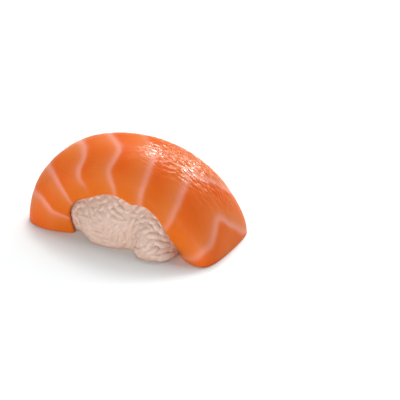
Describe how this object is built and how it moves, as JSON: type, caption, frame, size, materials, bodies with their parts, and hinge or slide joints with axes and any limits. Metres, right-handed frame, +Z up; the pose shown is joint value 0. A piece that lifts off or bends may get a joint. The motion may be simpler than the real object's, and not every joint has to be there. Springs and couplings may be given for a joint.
{
  "type": "nigiri",
  "caption": "Piece of nigiri: a slice of raw salmon with pale fat lines, draped over a hand-pressed ball of rice and touching the ground at both ends.",
  "frame": {"origin": "on the ground, under the middle of the piece's bounding box", "axes": "+X along the slice towards its flared end, -Y towards the side of the rice that the picture shows, +Z up"},
  "size_m": [0.0714, 0.0414, 0.0309],
  "materials": {
    "salmon_flesh": "raw salmon, moist and softly glossy, with pale fat lines",
    "rice": "cooked short-grain rice, slightly moist"
  },
  "bodies": {
    "root": {"salmon_slice": "salmon_flesh", "rice_ball": "rice"}
  },
  "joints": []
}
